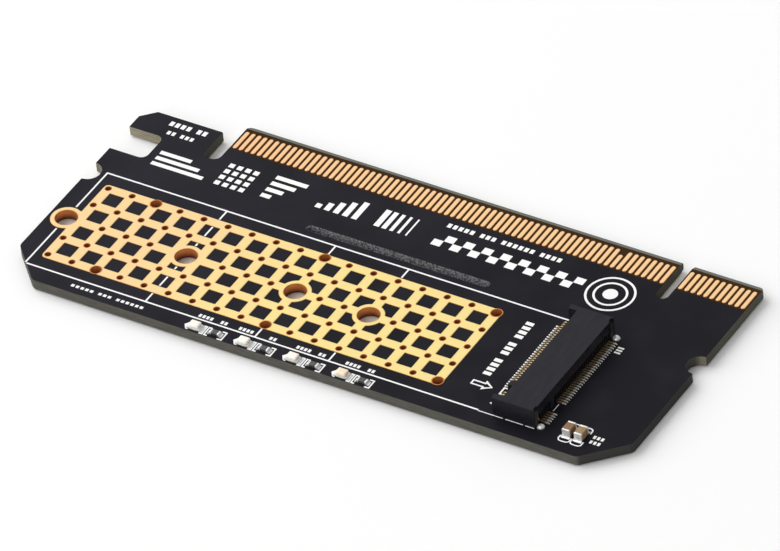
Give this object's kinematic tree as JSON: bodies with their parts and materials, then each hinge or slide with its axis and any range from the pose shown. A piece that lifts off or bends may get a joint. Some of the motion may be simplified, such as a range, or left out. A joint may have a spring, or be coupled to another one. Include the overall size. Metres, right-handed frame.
{
  "type": "nvme adapter card",
  "caption": "Flat black adapter card with a card-edge connector, a drive socket and a gilt heat-spreading grid, to seat a stick-shaped solid-state drive in a computer slot.",
  "frame": {"origin": "middle of the key notch, on the nose of the card edge, half way through the board", "axes": "+Z out of the component side, +Y out of the card edge into the slot, +X along the card towards the short group of contacts"},
  "size_m": [0.0998, 0.0424, 0.0048],
  "materials": {
    "board": "satin solder mask on glass-epoxy laminate",
    "gold": "thin plated gold, satin",
    "contacts": "hard gold plating, smooth",
    "housing": "moulded glass-filled plastic, satin",
    "pins": "stamped and plated",
    "tin": "tinned, smooth",
    "solder": "satin tin solder",
    "lamp_base": "moulded, smooth",
    "lamp_lens": "clear to milky resin",
    "resistor": "dark glaze on ceramic",
    "capacitor": "fired ceramic, matt"
  },
  "bodies": {
    "root": {"circuit_board": "board", "thermal_grid": "gold", "front_contacts_long": "contacts", "front_contacts_short": "contacts", "back_contacts_long": "contacts", "back_contacts_short": "contacts", "socket_housing": "housing", "socket_upper_pins": "pins", "socket_lower_pins": "pins", "socket_anchor_rear": "tin", "socket_anchor_front": "tin", "lamp_1_base": "lamp_base", "lamp_1_terminals": "tin", "lamp_1_solder": "solder", "lamp_1_lens": "lamp_lens", "resistor_1_body": "resistor", "resistor_1_terminals": "tin", "resistor_1_solder": "solder", "lamp_2_base": "lamp_base", "lamp_2_terminals": "tin", "lamp_2_solder": "solder", "lamp_2_lens": "lamp_lens", "resistor_2_body": "resistor", "resistor_2_terminals": "tin", "resistor_2_solder": "solder", "lamp_3_base": "lamp_base", "lamp_3_terminals": "tin", "lamp_3_solder": "solder", "lamp_3_lens": "lamp_lens", "resistor_3_body": "resistor", "resistor_3_terminals": "tin", "resistor_3_solder": "solder", "lamp_4_base": "lamp_base", "lamp_4_terminals": "tin", "lamp_4_solder": "solder", "lamp_4_lens": "lamp_lens", "resistor_4_body": "resistor", "resistor_4_terminals": "tin", "resistor_4_solder": "solder", "capacitor_1_body": "capacitor", "capacitor_1_terminals": "tin", "capacitor_1_solder": "solder", "capacitor_2_body": "capacitor", "capacitor_2_terminals": "tin", "capacitor_2_solder": "solder"}
  },
  "joints": []
}
